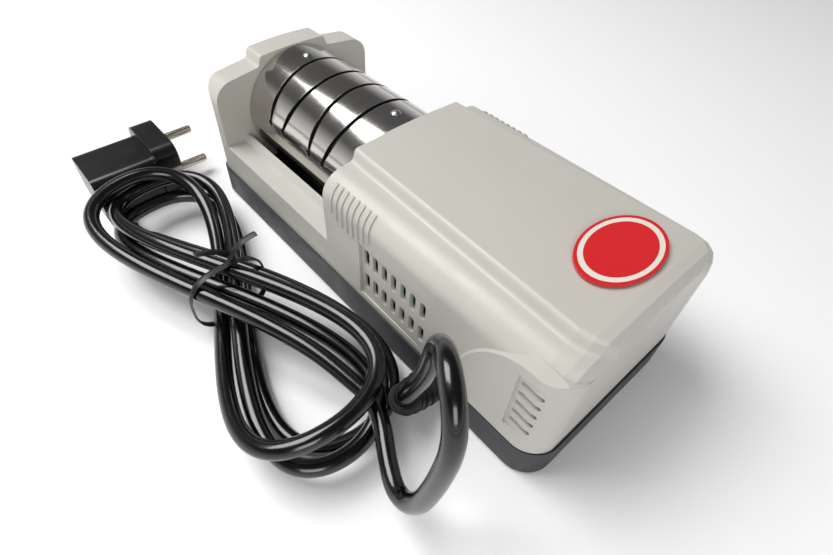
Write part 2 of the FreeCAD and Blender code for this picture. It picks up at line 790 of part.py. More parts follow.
def wheel_nut():
    left = wheel_span(0)[0]
    corner = 8.2
    points = []
    for i in range(7):
        angle = math.radians(60 * i)
        points.append(Vector(left - 6.0, corner * math.cos(angle),
                             axis_height + corner * math.sin(angle)))
    nut = Part.Face(Part.makePolygon(points)).extrude(Vector(6.0 - 0.02, 0, 0))
    return nut.cut(x_rod(spindle_radius + fit_gap, left - 8, left + 1))


def bearing_block(x0, x1, foot_half):
    """An upright block on the pan floor with a bore for its bush."""
    post = box(x0, x1, -foot_half, foot_half, pan_inside, axis_height)
    eye = x_rod(bush_radius + 4.5, x0, x1)
    foot = box(x0, x1, -foot_half - 5.0, foot_half + 5.0, pan_inside, pan_inside + 4.0)
    block = fused([post, eye, foot])
    return block.cut(x_rod(bush_radius, x0 - 1, x1 + 1))


def bush(x0, x1, bore):
    return x_tube(bush_radius, bore + fit_gap, x0, x1)


def shaft_coupling():
    body = x_rod(coupling_radius, coupling_x0, coupling_x1)
    half = coupling_x0 + coupling_length / 2
    body = body.cut(x_rod(spindle_radius + 0.01, coupling_x0 - 1, half))
    body = body.cut(x_rod(motor_shaft_radius + 0.01, half - 0.1, coupling_x1 + 1))
    for turn in range(3):
        slit = box(coupling_x0 + 6.0 + 3.4 * turn, coupling_x0 + 6.9 + 3.4 * turn,
                   -20, 20, axis_height + motor_shaft_radius + 2.2, axis_height + 20)
        body = body.cut(turned(slit, (0, 0, axis_height), X_AXIS, 120 * turn))
    return body


def motor_shaft():
    return x_rod(motor_shaft_radius, coupling_x0 + coupling_length / 2 + 0.5, can_end + 22.0)


def motor_can():
    can = x_tube(can_radius, can_radius - can_wall, can_start, can_end)
    window = box(can_start + 10, can_end - 22, -4, 4, axis_height - can_radius - 2,
                 axis_height - can_radius + 4)
    return can.cut(window)


def motor_cap(x0, x1, lip_x0, lip_x1):
    plate = x_rod(can_radius, x0, x1)
    lip = x_rod(can_radius - can_wall - fit_gap, lip_x0, lip_x1)
    inner = x_rod(can_radius - can_wall - 3.0, lip_x0 - 1, lip_x1 + 1)
    inner = inner.cut(x_rod(can_radius + 1, x0, x1))
    cap = fused([plate, lip]).cut(inner)
    vents = []
    for i in range(4):
        vent = x_rod(4.0, x0 - 1, x1 + 1, 0, axis_height + 17.0)
        vents.append(turned(vent, (0, 0, axis_height), X_AXIS, 45 + 90 * i))
    cap = cap.cut(fused(vents))
    return cap.cut(x_rod(motor_bush_radius, x0 - 1, x1 + 1))


motor_bush_radius = 7.0
cap_thickness = 4.0
cap_lip = 3.0


def motor_bush(x0, x1):
    return x_tube(motor_bush_radius, motor_shaft_radius + fit_gap, x0, x1)


def motor_magnets():
    outer = can_radius - can_wall - 0.02
    ring = x_tube(outer, outer - magnet_thickness, can_start + 7.0, can_end - 13.0)
    gap = box(can_start, can_end, -60, 60, axis_height - 6.0, axis_height + 6.0)
    window = box(can_start + 9, can_end - 21, -4.5, 4.5, 0, axis_height)
    ring = ring.cut(gap).cut(window)
    return ring


def armature_radius():
    return can_radius - can_wall - magnet_thickness - armature_gap


def armature_core():
    """Laminated core with slots for the windings."""
    radius = armature_radius()
    core = x_rod(radius, can_start + 10.0, can_end - 18.0)
    core = core.cut(x_rod(motor_shaft_radius + 0.01, can_start, can_end))
    slots = []
    for i in range(12):
        mouth = box(can_start, can_end, -0.9, 0.9, axis_height + radius - 3.0,
                    axis_height + radius + 1)
        pocket = x_rod(2.2, can_start, can_end, 0, axis_height + radius - 4.4)
        slots.append(turned(mouth.fuse(pocket), (0, 0, axis_height), X_AXIS, 30 * i))
    return core.cut(fused(slots))


def armature_windings():
    """Copper in the slots with a rounded heap at each end of the core."""
    radius = armature_radius()
    x0 = can_start + 10.0
    x1 = can_end - 18.0
    bundles = []
    for i in range(12):
        bundle = x_rod(2.1, x0 - 0.5, x1 + 0.5, 0, axis_height + radius - 4.4)
        bundles.append(turned(bundle, (0, 0, axis_height), X_AXIS, 30 * i))
    for a, b in ((x0 - 5.0, x0 - 0.1), (x1 + 0.1, x1 + 5.0)):
        heap = x_tube(radius - 1.8, motor_shaft_radius + 2.2, a, b)
        bundles.append(heap)
    return fused(bundles)


def commutator():
    x0 = can_end - 12.6
    x1 = can_end - 3.2
    ring = x_tube(9.0, motor_shaft_radius + 0.01, x0, x1)
    slits = []
    for i in range(12):
        slit = box(x0 - 1, x1 + 1, -0.25, 0.25, axis_height + 8.0, axis_height + 10)
        slits.append(turned(slit, (0, 0, axis_height), X_AXIS, 15 + 30 * i))
    return ring.cut(fused(slits))


def brush_holders():
    holders = []
    x = can_end - 8.0
    for side in (-1, 1):
        y0, y1 = sorted((side * 11.0, side * (can_radius - can_wall - 0.5)))
        sleeve = box(x - 3.6, x + 3.6, y0, y1, axis_height - 3.6, axis_height + 3.6)
        bore = box(x - 2.6, x + 2.6, y0 - 1, y1 + 1, axis_height - 2.6, axis_height + 2.6)
        holders.append(sleeve.cut(bore))
    return Part.makeCompound(holders)


def carbon_brushes():
    brushes = []
    x = can_end - 8.0
    for side in (-1, 1):
        y0, y1 = sorted((side * (9.0 + part_gap / 3), side * 18.0))
        brushes.append(box(x - 2.5, x + 2.5, y0, y1, axis_height - 2.5, axis_height + 2.5))
    return Part.makeCompound(brushes)


def cooling_fan():
    """Radial fan on the rear of the motor shaft."""
    x0 = can_end + cap_thickness + 3.5
    disc = x_rod(fan_radius, x0, x0 + 1.6)
    hub = x_rod(8.0, x0, x0 + 11.0)
    blades = []
    for i in range(10):
        blade = box(x0 + 1.0, x0 + 9.5, -0.8, 0.8, axis_height + 7.5, axis_height + fan_radius - 1.0)
        blade = turned(blade, (0, 0, axis_height + 7.5), X_AXIS, 16)
        blades.append(turned(blade, (0, 0, axis_height), X_AXIS, 36 * i))
    fan = fused([disc, hub] + blades)
    return fan.cut(x_rod(motor_shaft_radius + 0.01, x0 - 1, x0 + 20))


def motor_saddle():
    block = box(saddle_x0, saddle_x1, -saddle_half_width, saddle_half_width, pan_inside,
                axis_height - 14.0)
    channel = box(saddle_x0 + 5, saddle_x1 - 5, -saddle_half_width + 5, saddle_half_width - 5,
                  pan_inside - 1, axis_height - can_radius - 5.0)
    return block.cut(x_rod(can_radius, saddle_x0 - 1, saddle_x1 + 1)).cut(channel)


def motor_strap():
    x0, x1 = strap_x - strap_width / 2, strap_x + strap_width / 2
    inner = can_radius + 0.02
    outer = inner + strap_wall
    band = above(axis_height, x_tube(outer, inner, x0, x1))
    parts = [band]
    for side in (-1, 1):
        y0, y1 = sorted((side * inner, side * outer))
        parts.append(box(x0, x1, y0, y1, strap_screw_height, axis_height))
        y0, y1 = sorted((side * inner, side * (strap_screw_y + 5.0)))
        parts.append(box(x0, x1, y0, y1, strap_screw_height, strap_screw_height + strap_wall))
    strap = fused(parts)
    for side in (-1, 1):
        strap = strap.cut(rod(small_screw_radius + 0.15, (strap_x, side * strap_screw_y, 20),
                              Z_AXIS, 20))
    return strap


def small_screw(x, y, seat, length, head=2.8):
    shank = rod(small_screw_radius, (x, y, seat - length), Z_AXIS, length + 0.1)
    cap = rod(head, (x, y, seat), Z_AXIS, 1.8)
    slot = box(x - 4, x + 4, y - 0.4, y + 0.4, seat + 1.0, seat + 3)
    return shank.fuse(cap).cut(slot)


def strap_screws():
    return Part.makeCompound([small_screw(strap_x, side * strap_screw_y,
                                          strap_screw_height + strap_wall, 10.0)
                              for side in (-1, 1)])


def circuit_board():
    """An upright board behind the vents."""
    board = box(board_x0, board_x1, board_face_y - board_thickness, board_face_y,
                board_foot, board_top)
    for x in board_screw_x:
        board = board.cut(rod(small_screw_radius + 0.15, (x, -60, board_screw_height), Y_AXIS, 60))
    return board


def board_screws():
    screws = []
    seat = board_face_y - board_thickness
    for x in board_screw_x:
        shank = rod(small_screw_radius, (x, seat - 0.1, board_screw_height), Y_AXIS, 6.0)
        head = rod(2.4, (x, seat - 1.6, board_screw_height), Y_AXIS, 1.6)
        slot = box(x - 4, x + 4, seat - 3, seat - 1.0, board_screw_height - 0.4,
                   board_screw_height + 0.4)
        screws.append(shank.fuse(head).cut(slot))
    return Part.makeCompound(screws)


def board_capacitor():
    x = (board_x0 + board_x1) / 2 - 1.0
    body = rod(4.6, (x, board_face_y, board_screw_height + 1.0), Y_AXIS, 11.0)
    end = [e for e in body.Edges if abs(e.BoundBox.YMin - (board_face_y + 11.0)) < 0.01]
    return body.makeFillet(0.8, end)


def board_rectifier():
    x = (board_x0 + board_x1) / 2
    return box(x - 5.0, x + 5.0, board_face_y, board_face_y + 3.2, board_top - 13.0,
               board_top - 4.0)


def cord_clamp():
    bar = box(clamp_x0, clamp_x1, clamp_y0, clamp_y1, cord_exit_height,
              cord_exit_height + 6.0)
    bar = bar.cut(rod(cord_diameter / 2, (cord_exit_x, clamp_y0 - 1, cord_exit_height), Y_AXIS, 20))
    for x in clamp_screw_x:
        bar = bar.cut(rod(small_screw_radius + 0.15, (x, (clamp_y0 + clamp_y1) / 2, 0),
                          Z_AXIS, 40))
    return bar


def clamp_screws():
    return Part.makeCompound([small_screw(x, (clamp_y0 + clamp_y1) / 2,
                                          cord_exit_height + 6.0, 10.0, 2.2)
                              for x in clamp_screw_x])


def badge():
    """A plain oval plate on the top, long side across the body."""
    plate = Part.Ellipse(Vector(0, 0, 0), badge_half_long, badge_half_short).toShape()
    solid = Part.Face(Part.Wire([plate])).extrude(Vector(0, 0, badge_thickness))
    solid.rotate(Vector(0, 0, 0), Z_AXIS, 90)
    solid.translate(Vector(badge_x, badge_y, motor_top + motor_crown + 0.02))
    return solid


def straight_and_arcs(points):
    """Edges of a route: straight runs, with a tangent arc at each inner corner."""
    corners = [Vector(*p) for p in points]
    edges = []
    radii = []
    last = corners[0]
    for i in range(1, len(corners) - 1):
        back = corners[i - 1] - corners[i]
        ahead = corners[i + 1] - corners[i]
        reach = 0.45 * min(back.Length, ahead.Length)
        back.normalize()
        ahead.normalize()
        half = back.getAngle(ahead) / 2.0
        radius = reach * math.tan(half)
        radii.append(round(radius, 1))
        inward = back + ahead
        inward.normalize()
        start = corners[i] + back * reach
        end = corners[i] + ahead * reach
        middle = corners[i] + inward * (radius / math.sin(half) - radius)
        edges.append(Part.LineSegment(last, start).toShape())
        edges.append(Part.Arc(start, middle, end).toShape())
        last = end
    edges.append(Part.LineSegment(last, corners[-1]).toShape())
    return edges, radii


def cord_tube(edges, radius):
    wire = Part.Wire(edges)
    first = edges[0]
    start = first.valueAt(first.FirstParameter)
    along = first.tangentAt(first.FirstParameter)
    ring = Part.Wire(Part.Circle(start, along, radius).toShape())
    return wire.makePipeShell([ring], True, False)


def place_on(edges, distance):
    """The point and the direction at a distance along a route."""
    for edge in edges:
        if distance <= edge.Length:
            at = edge.getParameterByLength(distance)
            return edge.valueAt(at), edge.tangentAt(at)
        distance -= edge.Length
    edge = edges[-1]
    return edge.valueAt(edge.LastParameter), edge.tangentAt(edge.LastParameter)


def hank_point(degrees):
    """A figure-of-eight whose lobes and waist strands are placed turn by turn."""
    turn = min(int(degrees // 360), hank_turns)
    angle = degrees - 360.0 * turn
    quarter = int(angle // 90)
    a = math.radians(angle)
    right = min(turn + 1, hank_turns) if quarter >= 2 else turn
    left = min(turn, hank_turns - 1)
    blend = (1 + math.cos(a)) / 2
    reach = reach_left[left] * (1 - blend) + reach_right[right] * blend
    width = width_left[left] * (1 - blend) + width_right[right] * blend
    lobe_z = height_right[right] if quarter in (0, 3) else height_left[left]
    lobe_y = shift_right[right] if quarter in (0, 3) else shift_left[left]
    waist_z = height_over[turn] if quarter < 2 else height_under[left]
    waist_shift = shift_over[turn] if quarter < 2 else shift_under[left]
    across = math.sin(a) ** 2
    x = reach * ((1 + lobe_roundness) * math.cos(a) - lobe_roundness * math.cos(3 * a))
    y = width * math.sin(2 * a) + lobe_y * (1 - across) + waist_shift * across
    z = lobe_z * (1 - across) + waist_z * across
    return Vector(waist_x + x, waist_y + y, z)


def hank_direction(degrees):
    ahead = hank_point(min(degrees + 0.05, hank_to))
    behind = hank_point(max(degrees - 0.05, hank_from))
    along = ahead - behind
    along.normalize()
    return along


def two_arcs(p0, t0, p1, t1):
    """Two tangent arcs that leave p0 along t0 and reach p1 along t1."""
    span = p1 - p0
    both = t0 + t1
    spread = 2 * (1 - t0.dot(t1))
    if spread < 1e-6:
        d = span.dot(span) / (4 * span.dot(t1))
    else:
        root = math.sqrt(span.dot(both) ** 2 + spread * span.dot(span))
        d = (root - span.dot(both)) / spread
    corner0 = p0 + t0 * d
    corner1 = p1 - t1 * d
    joint = (corner0 + corner1) * 0.5
    arcs = []
    for start, corner, end in ((p0, corner0, joint), (joint, corner1, p1)):
        chord = end - start
        centre = start + chord * 0.5
        towards = corner - centre
        half_chord = chord.Length / 2
        leg = (corner - start).Length
        if towards.Length < 1e-4:
            arcs.append(Part.LineSegment(start, end).toShape())
            continue
        slope = math.acos(min(1.0, half_chord / leg))
        sagitta = half_chord * math.tan(slope / 2)
        towards.normalize()
        arcs.append(Part.Arc(start, centre + towards * sagitta, end).toShape())
    return arcs


def hank_edges():
    step = (hank_to - hank_from) / hank_steps
    places = [hank_from + step * i for i in range(hank_steps + 1)]
    points = [hank_point(a) for a in places]
    ways = [hank_direction(a) for a in places]
    edges = [Part.LineSegment(points[0] - ways[0] * cord_diameter, points[0]).toShape()]
    for i in range(hank_steps):
        edges += two_arcs(points[i], ways[i], points[i + 1], ways[i + 1])
    edges.append(Part.LineSegment(points[-1], points[-1] + ways[-1] * cord_diameter).toShape())
    return edges


def report_hank(edges):
    """Prints the hank's length, its tightest bend and its least gap, measured on points."""
    spots = []
    for edge in edges:
        count = max(2, int(edge.Length / 3.0))
        for i in range(count):
            at = edge.getParameterByLength(edge.Length * i / count)
            spots.append(edge.valueAt(at))
    radii = [edge.Curve.Radius for edge in edges if hasattr(edge.Curve, "Radius")]
    run = [0.0]
    for i in range(1, len(spots)):
        run.append(run[-1] + (spots[i] - spots[i - 1]).Length)
    least = 1e9
    for i in range(len(spots)):
        for j in range(i + 1, len(spots)):
            if run[j] - run[i] > 3.2 * cord_diameter:
                least = min(least, (spots[i] - spots[j]).Length)
    print("hank length", round(run[-1], 1), "least gap", round(least - cord_diameter, 2),
          "tightest bend", round(min(radii), 1))


def lead_route():
    start = hank_point(hank_from) - hank_direction(hank_from) * cord_diameter
    last = start - hank_direction(hank_from) * 17.0
    inside = [(cord_exit_x, -cord_inner_end, cord_exit_height),
              (cord_exit_x, -57.5, cord_exit_height)]
    return inside + lead_corners + [tuple(last), tuple(start)]


def tail_route():
    way = hank_direction(hank_to)
    start = hank_point(hank_to) + way * cord_diameter
    first = start + way * 10.0
    mouth = plug_right + grommet_length
    return [tuple(start), tuple(first)] + tail_corners + [
        (mouth - 2.0, plug_exit_y, plug_exit_height), (plug_right, plug_exit_y, plug_exit_height)]


def strain_relief(edges):
    """A ribbed sleeve moulded on the lead, held in the pan wall by its neck and inner flange."""
    wall_out = body_half_width + 0.3
    first = wall_out - cord_inner_end
    neck = rod(relief_neck_radius, (cord_exit_x, -wall_out, cord_exit_height), Y_AXIS,
               pan_wall + 2.4)
    flange = rod(relief_neck_radius + 2.4, (cord_exit_x, -body_half_width + pan_wall + 0.2,
                                            cord_exit_height), Y_AXIS, 1.9)
    flange = flange.common(box(0, 200, -60, 0, pan_inside + 0.2, parting - part_gap))
    pieces = [neck, flange]
    steps = int(relief_reach / 2.0)
    core = relief_tip_radius - 0.2
    stretch = []
    for i in range(steps + 1):
        point, way = place_on(edges, first + relief_reach * i / steps)
        share = i / steps
        radius = relief_root_radius * (1 - share) + relief_tip_radius * share - relief_groove
        stretch.append(Part.Wire(Part.Circle(point, way, max(radius, core)).toShape()))
    pieces.append(Part.makeLoft(stretch, True, False))
    place = 0.0
    while place < relief_reach - relief_rib_width + 0.1:
        point, way = place_on(edges, first + place)
        share = (place + relief_rib_width / 2) / relief_reach
        radius = relief_root_radius * (1 - share) + relief_tip_radius * share
        pieces.append(Part.makeCylinder(radius, relief_rib_width, point, way))
        place += relief_rib_pitch
    return fused(pieces).cut(cord_tube(edges, cord_diameter / 2))


def twist_tie():
    """A flat band round the waist of the hank, with its two ends twisted together."""
    shifts = shift_over + shift_under
    heights = height_over + height_under
    side = cord_diameter / 2 + 1.8
    rise = cord_diameter / 2 + 0.55
    y0 = waist_y + min(shifts) - side
    y1 = waist_y + max(shifts) + side
    z0 = min(heights) - rise
    z1 = max(heights) + rise
    x0 = waist_x - tie_width / 2

    def loop(grow):
        points = [Vector(x0, y0 - grow, z0 - grow), Vector(x0, y1 + grow, z0 - grow),
                  Vector(x0, y1 + grow, z1 + grow), Vector(x0, y0 - grow, z1 + grow)]
        return Part.Face(rounded_wire(points, [2.5 + grow] * 4)).extrude(Vector(tie_width, 0, 0))

    band = loop(tie_thickness).cut(loop(0.0))
    top = z1 + tie_thickness
    stem = rod(1.3, (waist_x, waist_y, top - 0.3), Z_AXIS, 5.0)
    tails = []
    for lean in (-1, 1):
        strip = box(waist_x - tie_width / 2, waist_x + tie_width / 2, waist_y - 0.35,
                    waist_y + 0.35, top + 3.0, top + 19.0)
        tails.append(turned(strip, (waist_x, waist_y, top + 3.0), X_AXIS, lean * 52.0))
    return fused([band, stem] + tails)


def rounded_block(x0, x1, y0, y1, z0, z1, radius):
    """A block along Y whose four long edges are rounded."""
    points = [Vector(x0, y0, z0), Vector(x1, y0, z0), Vector(x1, y0, z1), Vector(x0, y0, z1)]
    return Part.Face(rounded_wire(points, [radius] * 4)).extrude(Vector(0, y1 - y0, 0))


def pin_places():
    mid_x = (plug_left + plug_right) / 2
    mid_z = (plug_clearance + plug_flange_top) / 2
    turn = math.radians(plug_pin_turn)
    half = plug_pin_spacing / 2
    return [(mid_x + s * half * math.cos(turn), mid_z - s * half * math.sin(turn))
            for s in (-1, 1)]


def plug_body():
    flange = rounded_block(plug_left, plug_right, plug_step_y, plug_face_y, plug_clearance,
                           plug_flange_top, 7.0)
    grip = rounded_block(plug_left + plug_grip_inset, plug_right - plug_grip_inset,
                         plug_rear_y, plug_step_y + 0.5, plug_clearance, plug_body_top, 5.0)
    corner = box(-20, 20, -20, 20, -50, 50)
    corner = turned(corner, (0, 0, 0), Z_AXIS, 45)
    corner.translate(Vector(plug_left + plug_grip_inset - 18.0, plug_rear_y - 18.0, 20))
    boss = box(plug_right - plug_grip_inset - 6, plug_right, plug_exit_y - 5.5, plug_exit_y + 5.5,
               plug_clearance + 0.2, plug_exit_height + 6.0)
    body = fused([flange, grip.cut(corner), boss])
    cuts = [rod(plug_pin_radius, (x, plug_face_y - 8.0, z), Y_AXIS, 12) for x, z in pin_places()]
    mid_x = (plug_left + plug_right) / 2
    mid_z = (plug_clearance + plug_flange_top) / 2
    cuts.append(rod(2.6, (mid_x + 7.2, plug_face_y - 11.0, mid_z + 7.4), Y_AXIS, 20))
    for x0, x1, z0, z1 in clip_places():
        cuts.append(box(x0, x1, plug_face_y - 11.0, plug_face_y + 1, z0, z1))
    return body.cut(fused(cuts))


def clip_places():
    mid_z = (plug_clearance + plug_flange_top) / 2
    return [(plug_left - 1.0, plug_left + 1.2, mid_z - 3.0, mid_z + 3.0),
            (plug_right - 1.2, plug_right + 1.0, mid_z - 3.0, mid_z + 3.0)]


def plug_clips():
    clips = []
    for x0, x1, z0, z1 in clip_places():
        inner = x1 - 0.9 if x0 < plug_left else x0
        clips.append(box(inner, inner + 0.9, plug_face_y - 11.0, plug_face_y - 0.4, z0, z1))
    return Part.makeCompound(clips)


def plug_pins():
    pins = []
    for x, z in pin_places():
        pin = rod(plug_pin_radius, (x, plug_face_y - 8.0, z), Y_AXIS, plug_pin_length + 8.0)
        end = plug_face_y + plug_pin_length
        tip = [e for e in pin.Edges if abs(e.BoundBox.YMin - end) < 0.01]
        pins.append(pin.makeFillet(1.4, tip))
    return Part.makeCompound(pins)


def plug_grommet(edges):
    start = Vector(plug_right, plug_exit_y, plug_exit_height)
    cone = Part.makeCone(grommet_root, grommet_tip, grommet_length, start, X_AXIS)
    for i in range(3):
        x = plug_right + 5.0 + 5.4 * i
        groove = x_tube(12.0, 4.3, x, x + 2.2, plug_exit_y, plug_exit_height)
        web = box(x - 1, x + 4, plug_exit_y - 12, plug_exit_y + 12, plug_exit_height - 1.2,
                  plug_exit_height + 1.2)
        cone = cone.cut(groove.cut(web))
    return cone.cut(cord_tube(edges, cord_diameter / 2))


def cords():
    lead, lead_bends = straight_and_arcs(lead_route())
    tail, tail_bends = straight_and_arcs(tail_route())
    print("lead bends", lead_bends)
    print("tail bends", tail_bends)
    hank = hank_edges()
    report_hank(hank)
    radius = cord_diameter / 2
    for name, edges in (("cord_lead", lead), ("cord_hank", hank), ("cord_tail", tail)):
        solid = cord_tube(edges, radius)
        save(name, solid)
        length = sum(edge.Length for edge in edges)
        print(name, "length", round(length, 1), "volume over section times length",
              round(solid.Volume / (math.pi * radius ** 2 * length), 4))
    save("strain_relief", strain_relief(lead))
    save("twist_tie", twist_tie())
    save("plug_body", plug_body())
    save("plug_pins", plug_pins())
    save("plug_clips", plug_clips())
    save("plug_grommet", plug_grommet(tail))


def main():
    save("base_pan", base_pan())
    save("case_screws", case_screws())
    save("rubber_feet", rubber_feet())
    save("upper_housing", upper_housing())
    save("switch_frame", switch_frame())
    save("switch_rocker", switch_rocker())
    save("slotted_cover", slotted_cover())
    save("cover_screws", cover_screws())
    save("knife_guide", knife_guide())
    save("coarse_wheel", grinding_wheel(0))
    save("fine_wheel", grinding_wheel(1))
    save("spindle", spindle())
    save("wheel_spacers", wheel_spacers())
    save("wheel_nut", wheel_nut())
    save("outboard_bearing_block", bearing_block(outboard_x0, outboard_x1, 9.0))
    save("inboard_bearing_block", bearing_block(inboard_x0, inboard_x1, 14.0))
    save("outboard_bush", bush(outboard_x0, outboard_x1, spindle_radius))
    save("inboard_bush", bush(inboard_x0, inboard_x1, spindle_radius))
    save("shaft_coupling", shaft_coupling())
    save("motor_shaft", motor_shaft())
    save("motor_can", motor_can())
    save("motor_front_cap", motor_cap(can_start - cap_thickness, can_start, can_start,
                                      can_start + cap_lip))
    save("motor_rear_cap", motor_cap(can_end, can_end + cap_thickness, can_end - cap_lip, can_end))
    save("motor_front_bush", motor_bush(can_start - cap_thickness, can_start))
    save("motor_rear_bush", motor_bush(can_end, can_end + cap_thickness))
    save("motor_magnets", motor_magnets())
    save("armature_core", armature_core())
    save("armature_windings", armature_windings())
    save("commutator", commutator())
    save("brush_holders", brush_holders())
    save("carbon_brushes", carbon_brushes())
    save("cooling_fan", cooling_fan())
    save("motor_saddle", motor_saddle())
    save("motor_strap", motor_strap())
    save("strap_screws", strap_screws())
    save("circuit_board", circuit_board())
    save("board_screws", board_screws())
    save("board_capacitor", board_capacitor())
    save("board_rectifier", board_rectifier())
    save("cord_clamp", cord_clamp())
    save("clamp_screws", clamp_screws())
    save("badge", badge())
    cords()


main()
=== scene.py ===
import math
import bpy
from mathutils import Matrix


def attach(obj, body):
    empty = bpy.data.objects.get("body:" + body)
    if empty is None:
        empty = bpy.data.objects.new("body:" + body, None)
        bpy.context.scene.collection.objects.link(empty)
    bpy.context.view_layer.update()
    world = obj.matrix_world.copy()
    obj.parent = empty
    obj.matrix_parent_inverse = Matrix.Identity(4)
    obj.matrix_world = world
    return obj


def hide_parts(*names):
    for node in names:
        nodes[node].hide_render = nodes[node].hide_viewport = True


bl_info = {
    "name": "Electric knife sharpener",
    "version": (1, 0, 0),
    "blender": (4, 5, 0),
    "location": "View3D > Sidebar > Sharpener",
    "description": "Dresses the packed knife sharpener, with its cord, materials, camera and stage",
    "category": "Object",
}

import bpy
import numpy as np
from mathutils import Matrix, Vector

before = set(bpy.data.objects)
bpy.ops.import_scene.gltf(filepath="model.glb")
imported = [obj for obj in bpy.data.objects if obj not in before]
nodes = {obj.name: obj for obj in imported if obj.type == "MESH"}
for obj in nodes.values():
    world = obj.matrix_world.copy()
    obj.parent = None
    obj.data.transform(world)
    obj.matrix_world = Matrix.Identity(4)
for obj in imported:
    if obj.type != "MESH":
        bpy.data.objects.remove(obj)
MM = 0.001

# Picture and camera, worked out from the photograph's lines in the frame of the part
IMAGE_WIDTH = 833
IMAGE_HEIGHT = 555
SENSOR = 36.0
FOCAL_PIXELS = 521.44
CENTRE_PIXEL = (396.41, 263.72)
CAMERA_PLACE = (0.13924, -0.13983, 0.20859)
CAMERA_RIGHT = (0.65053, 0.75911, 0.02385)
CAMERA_UP = (-0.57092, 0.46806, 0.67452)
CAMERA_BACK = (0.50087, -0.45241, 0.73787)

# Cord, in millimetres. The route points are the ones that the part's source uses.
CORD_DIAMETER = 7.3
LEAD_ROUTE = [
    (66, -33, 10.5), (66, -57.5, 10.5), (67.2, -67, 15.6), (69.8, -71.8, 26), (75, -72, 41),
    (80.2, -70.6, 58), (81.4, -69.8, 74), (86.6, -73.4, 83.6), (95, -79.3, 87.4),
    (103.2, -85, 83.6), (108, -88.6, 73.6), (107.4, -91, 56), (105.6, -92.8, 41),
    (103.6, -94, 31), (98.6, -95.2, 21.5), (89, -93.6, 18.2),
]
TAIL_ROUTE = [(-97.5, -112.8, 8.8), (-107, -112.5, 6.6), (-128, -112.5, 6.6)]
LEAD_RUN_IN = 17.0
TAIL_RUN_OUT = 10.0

# Hank: a flat figure-of-eight, wound turn by turn
HANK_TURNS = 3
HANK_FROM = 50.0
HANK_TO = 1195.0
HANK_STEPS = 60
LOBE_ROUNDNESS = 0.03
WAIST_X = -26.0
WAIST_Y = -90.0
REACH_RIGHT = [98.0, 90.4, 94.7, 89.1]
REACH_LEFT = [92.1, 93.2, 86.0]
WIDTH_RIGHT = [22.0, 27.2, 25.5, 24.7]
WIDTH_LEFT = [25.1, 25.5, 23.6]
SHIFT_RIGHT = [-10.9, -6.8, -5.4, 5.4]
SHIFT_LEFT = [-10.2, -0.8, -3.0]
HEIGHT_RIGHT = [18.5, 29.6, 10.8, 3.9]
HEIGHT_LEFT = [30.9, 22.2, 14.5]
SHIFT_OVER = [-17.5, -0.7, -7.9, 8.2]
HEIGHT_OVER = [27.1, 30.4, 23.5, 23.2]
SHIFT_UNDER = [-10.4, -1.8, 1.4]
HEIGHT_UNDER = [11.8, 15.3, 5.2]

# Twist tie round the waist of the hank
TIE_CORE = 0.55
TIE_SQUARENESS = 3.0
TIE_TAIL = 17.0
TIE_LEAN = 52.0
TIE_ROOM = 1.8
TIE_THICKNESS = 0.44

# Stage, in metres
FLOOR_HALF = 4.0
KEY_PLACE = (-0.55, -0.35, 1.1)
KEY_SIZE = (0.8, 0.8)
FILL_PLACE = (0.9, -0.7, 0.7)
FILL_SIZE = (0.6, 0.6)
FILL_SHARE = 0.35

# Badge oval. The field ends and the rim starts at these shares of its radius.
BADGE_CENTRE = (96.5, 3.5)
BADGE_SIZE = (27.0, 42.0)
BADGE_FIELD = 0.8
BADGE_RIM = 0.92


def linear(red, green, blue):
    """Screen values from 0 to 255 as linear light, by the usual power of 2.2."""
    return tuple((v / 255.0) ** 2.2 for v in (red, green, blue)) + (1.0,)


class SharpenerSettings(bpy.types.PropertyGroup):
    tie_width: bpy.props.FloatProperty(
        name="Tie width", description="Width of the twist tie in millimetres", default=3.6)
    grain: bpy.props.FloatProperty(
        name="Moulding grain", description="Height of the fine grain on the mouldings", default=0.1)
    edge: bpy.props.FloatProperty(
        name="Soft edge", description="Radius of the softened edges in millimetres", default=0.35)
    key_power: bpy.props.FloatProperty(
        name="Key light", description="Power of the large soft light in watts", default=17.0)
    sky: bpy.props.FloatProperty(
        name="Sky", description="Strength of the light from all round", default=1.0)


def hank_point(degrees):
    """A figure-of-eight: x is the reach times a cosine, y the width times the sine of twice
    the angle, and the height eases from the lobe to the waist with the square of the sine."""
    turn = min(int(degrees // 360), HANK_TURNS)
    angle = degrees - 360.0 * turn
    quarter = int(angle // 90)
    a = math.radians(angle)
    right = min(turn + 1, HANK_TURNS) if quarter >= 2 else turn
    left = min(turn, HANK_TURNS - 1)
    blend = (1 + math.cos(a)) / 2
    reach = REACH_LEFT[left] * (1 - blend) + REACH_RIGHT[right] * blend
    width = WIDTH_LEFT[left] * (1 - blend) + WIDTH_RIGHT[right] * blend
    lobe_z = HEIGHT_RIGHT[right] if quarter in (0, 3) else HEIGHT_LEFT[left]
    lobe_y = SHIFT_RIGHT[right] if quarter in (0, 3) else SHIFT_LEFT[left]
    waist_z = HEIGHT_OVER[turn] if quarter < 2 else HEIGHT_UNDER[left]
    waist_shift = SHIFT_OVER[turn] if quarter < 2 else SHIFT_UNDER[left]
    across = math.sin(a) ** 2
    x = reach * ((1 + LOBE_ROUNDNESS) * math.cos(a) - LOBE_ROUNDNESS * math.cos(3 * a))
    y = width * math.sin(2 * a) + lobe_y * (1 - across) + waist_shift * across
    z = lobe_z * (1 - across) + waist_z * across
    return Vector((WAIST_X + x, WAIST_Y + y, z))


